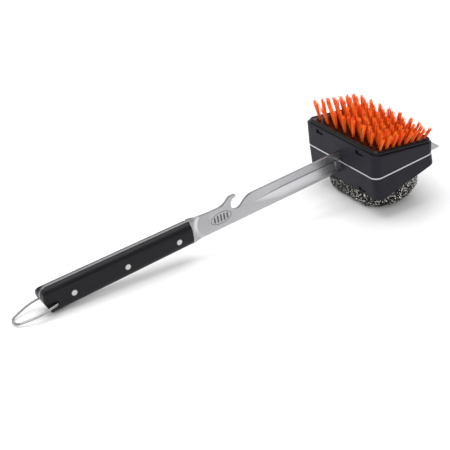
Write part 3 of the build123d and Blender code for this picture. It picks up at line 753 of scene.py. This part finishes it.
def knit_layer(name, depth, turn, rng, to_row):
    """One sheet of knitted wire wrapped over the pad: rows of loops, each row hooked into the last."""
    width, height = MESH_CELL
    reach = PAD_Y / 2 + PAD_HEIGHT + 4
    deepest = PAD_HEIGHT - PAD_BASE - 0.4
    vertices, faces = [], []
    rows = int(2 * reach / height)
    seed = Vector((rng.uniform(-50, 50), rng.uniform(-50, 50), rng.uniform(-50, 50)))
    for row in range(rows):
        level = -reach + row * height
        count = int(2 * reach / width * POINTS_PER_LOOP)
        phase = rng.uniform(-LOOP_STRAY, LOOP_STRAY)
        path, outward, turns = [], [], []
        for i in range(count + 1):
            t = i / POINTS_PER_LOOP * 2 * math.pi
            u = -reach + i / POINTS_PER_LOOP * width + LOOP_LEAN * width * math.sin(2 * t)
            v = level + LOOP_REACH * height * math.cos(t + phase)
            x = u * math.cos(turn) - v * math.sin(turn)
            y = u * math.sin(turn) + v * math.cos(turn)
            shift = noise.noise_vector(Vector((x, y, 0)) * DRIFT_SCALE + seed) * DRIFT
            x, y = x + shift.x, y + shift.y
            crimp = CRIMP * (1 + math.cos(2 * t)) + max(0.0, TANGLE + TANGLE_DRIFT * shift.z)
            at, drop = wrap(x, y, depth + crimp + WIRE_W / 2)
            if drop <= deepest:
                below, _ = wrap(x, y, depth + crimp + WIRE_W / 2 + 1)
                path.append(to_row @ at)
                outward.append(to_row.to_3x3() @ (at - below))
                turns.append(WIRE_TWIST * noise.noise(Vector((x, y, 5)) * TWIST_SCALE + seed))
            if drop > deepest or i == count:
                if len(path) > 6:
                    ribbon(path, outward, turns, vertices, faces)
                path, outward, turns = [], [], []
    return new_piece(name, vertices, faces, MESH_WIRE, "scrubber_cartridge", smooth=False)


def pad_shade_filling(to_row):
    """A closed, lumpy form just under the mesh, near black as painted shade for the inside of the pad."""
    rings, spokes = 26, 96
    vertices, faces = [], []
    for ring in range(rings + 1):
        for spoke in range(spokes):
            angle = 2 * math.pi * spoke / spokes
            edge = edge_distance(angle)
            longest = edge - PAD_CROWN_R + PAD_CROWN_R * math.pi / 2 + PAD_HEIGHT - PAD_CROWN_R - 3
            reach = longest * ring / rings
            at, _ = wrap(reach * math.cos(angle), reach * math.sin(angle), 0.0)
            lump = SHADE_FILLING_DEPTH + SHADE_FILLING_LUMP * noise.noise(at * 0.25)
            at, _ = wrap(reach * math.cos(angle), reach * math.sin(angle), lump)
            vertices.append(to_row @ at)
    for ring in range(rings):
        for spoke in range(spokes):
            a = ring * spokes + spoke
            b = ring * spokes + (spoke + 1) % spokes
            faces.append((a, b, b + spokes, a + spokes))
    last = rings * spokes
    faces.append(tuple(last + k for k in range(spokes)))
    return new_piece("pad_depth", vertices, faces, SHADE_FILLING, "scrubber_cartridge")


def scrubber_pad():
    rng = random.Random(PAD_SEED)
    noise.seed_set(PAD_SEED)  # without it, noise_vector takes its offsets from the clock
    to_row = pad_frame()
    layers = [knit_layer(name, depth, math.radians(turn), rng, to_row) for name, depth, turn in MESH_LAYERS]
    shade_form = pad_shade_filling(to_row)
    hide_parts("steel_mesh_pad")


# ---- window tongues ----------------------------------------------------------------------------------


def tongue(name, centre, inward, up):
    """A softly rounded plate inside a window, flush with the window's upper and right edges."""
    right = Vector((0.0, -1.0, 0.0))
    middle = centre + right * (WINDOW_HALF_W - TONGUE_HALF_W) + up * (WINDOW_HALF_H - TONGUE_HALF_H)
    rings = ((0.0, 0.92), (0.2, 1.0), (TONGUE_T, 1.0))
    count = 32
    vertices = []
    for depth, scale in rings:
        for k in range(count):
            angle = 2 * math.pi * k / count
            c, s = math.cos(angle), math.sin(angle)
            w = TONGUE_HALF_W * scale * math.copysign(abs(c) ** 0.3, c)
            h = TONGUE_HALF_H * scale * math.copysign(abs(s) ** 0.3, s)
            vertices.append(place(*(middle + right * w + up * h + inward * (TONGUE_SUNK + depth))))
    faces = [tuple(range(count))]
    for ring in range(len(rings) - 1):
        for k in range(count):
            a, b = ring * count + k, ring * count + (k + 1) % count
            faces.append((a, b, b + count, a + count))
    piece = new_piece(name, vertices, faces, HOUSING, "handle_and_head", smooth=False)


def window_tongues():
    lean = math.radians(WEDGE)
    for half, up_sign in (("upper", 1), ("lower", -1)):
        for end, x_end, height in zip(("rear", "front"), HEAD_ENDS_X, RIM_HEIGHTS):
            outward = Vector((math.sin(lean), 0.0, up_sign * math.cos(lean)))
            rim = Vector((x_end + LEAN * height, 0.0, MID_Z + up_sign * height))
            centre = rim - outward * WINDOW_DROP
            centre.x = x_end + LEAN * abs(centre.z - MID_Z)
            inward = Vector((1.0 if end == "rear" else -1.0, 0.0, 0.0))
            for side, y in (("right", -WINDOW_Y), ("left", WINDOW_Y)):
                at = centre + Vector((0.0, y, 0.0))
                tongue(f"window_tongue_{half}_{end}_{side}", at, inward, outward * up_sign)


# ---- etched mark -------------------------------------------------------------------------------------


def strip(rails, low, high, vertices, faces, closed=False):
    """A thin band between two rails of (X, Z) points, from low to high off the blade's right side."""
    start = len(vertices)
    inner, outer = rails
    for (ax, az), (bx, bz) in zip(inner, outer):
        for x, z, height in ((ax, az, low), (ax, az, high), (bx, bz, high), (bx, bz, low)):
            vertices.append(place(x, BLADE_SIDE_Y - height, z))
    count = len(inner)
    for i in range(count if closed else count - 1):
        j = (i + 1) % count
        for k in range(4):
            a, b = start + 4 * i + k, start + 4 * i + (k + 1) % 4
            c, d = start + 4 * j + (k + 1) % 4, start + 4 * j + k
            faces.append((a, b, c, d))
    if not closed:
        faces.append(tuple(start + k for k in range(4)))
        faces.append(tuple(start + 4 * (count - 1) + k for k in range(3, -1, -1)))


def etched_mark():
    """A plain oval ring round five upright bars, like a grate."""
    vertices, faces = [], []
    low, high = -0.01, 0.02
    turns = [2 * math.pi * i / 72 for i in range(72)]
    rails = []
    for grow in (-MARK_LINE / 2, MARK_LINE / 2):
        half_l, half_h = MARK_HALF_L + grow, MARK_HALF_H + grow
        rails.append([(MARK_X + half_l * math.cos(t), MARK_Z + half_h * math.sin(t)) for t in turns])
    strip(rails, low, high, vertices, faces, closed=True)
    pitch = 2 * MARK_HALF_L * 0.78 / MARK_BARS
    for i in range(MARK_BARS):
        x = (i - (MARK_BARS - 1) / 2) * pitch
        half_h = 0.66 * MARK_HALF_H * math.sqrt(1 - (x / MARK_HALF_L) ** 2)
        half_w = 0.24 * pitch
        levels = [-1.0, -0.92, 0.92, 1.0]
        widths = [0.6, 1.0, 1.0, 0.6]
        left = [(MARK_X + x - half_w * w, MARK_Z + half_h * level) for level, w in zip(levels, widths)]
        right = [(MARK_X + x + half_w * w, MARK_Z + half_h * level) for level, w in zip(levels, widths)]
        strip((left, right), low, high, vertices, faces)
    mark = new_piece("etched_mark", vertices, faces, ETCHING, "handle_and_head", smooth=False)


# ---- stage -------------------------------------------------------------------------------------------


def floor():
    size = 4.0
    mesh = bpy.data.meshes.new("floor")
    corners = [(-size, -size, 0.0), (size, -size, 0.0), (size, size, 0.0), (-size, size, 0.0)]
    mesh.from_pydata(corners, [], [(0, 1, 2, 3)])
    mesh.materials.append(studio_floor("floor_white"))
    piece = bpy.data.objects.new("floor", mesh)
    bpy.context.scene.collection.objects.link(piece)


def softbox(name, at, target, size, power):
    """A rectangular light; places are in metres."""
    data = bpy.data.lights.new(name, "AREA")
    data.shape = "RECTANGLE"
    data.size, data.size_y = size
    data.energy = power
    lamp = bpy.data.objects.new(name, data)
    lamp.location = at
    lamp.rotation_euler = (Vector(target) - Vector(at)).to_track_quat("-Z", "Y").to_euler()
    lamp.visible_camera = False
    bpy.context.scene.collection.objects.link(lamp)


def lights():
    world = bpy.data.worlds.new("studio")
    world.use_nodes = True
    sky = world.node_tree.nodes["Background"]
    sky.inputs["Color"].default_value = (1.0, 1.0, 1.0, 1.0)
    sky.inputs["Strength"].default_value = 0.58
    bpy.context.scene.world = world
    softbox("top_box", (0.05, 0.15, 1.3), (0.05, 0.0, 0.0), (1.6, 0.9), 12.0)
    softbox("back_box", (0.1, 1.3, 0.6), (0.0, 0.0, 0.05), (2.0, 0.8), 6.0)
    softbox("front_card", (-0.3, -1.5, 0.28), (0.0, 0.0, 0.05), (2.2, 0.45), 5.0)
    softbox("key_box", (-1.1, -1.0, 1.1), (0.0, 0.0, 0.03), (0.8, 0.8), 7.0)


def camera():
    data = bpy.data.cameras.new("camera")
    data.lens = CAMERA_LENS
    data.sensor_width = 36.0
    data.clip_start, data.clip_end = 0.05, 20.0
    eye = bpy.data.objects.new("camera", data)
    azimuth, elevation = math.radians(CAMERA_AZIMUTH), math.radians(CAMERA_ELEVATION)
    back = Vector(
        (
            math.sin(azimuth) * math.cos(elevation),
            -math.cos(azimuth) * math.cos(elevation),
            math.sin(elevation),
        )
    )
    eye.location = place(*CAMERA_TARGET) + back * CAMERA_DISTANCE * MM
    aim = (-back).to_track_quat("-Z", "Y").to_matrix()
    roll = Matrix.Rotation(math.radians(CAMERA_ROLL), 3, "Z")
    eye.rotation_euler = (aim @ roll).to_euler()
    bpy.context.scene.collection.objects.link(eye)
    bpy.context.scene.camera = eye


# ---- everything --------------------------------------------------------------------------------------

bpy.context.scene.view_settings.view_transform = "Standard"
dress_nodes()
bristles()
scrubber_pad()
window_tongues()
etched_mark()
floor()
lights()
camera()
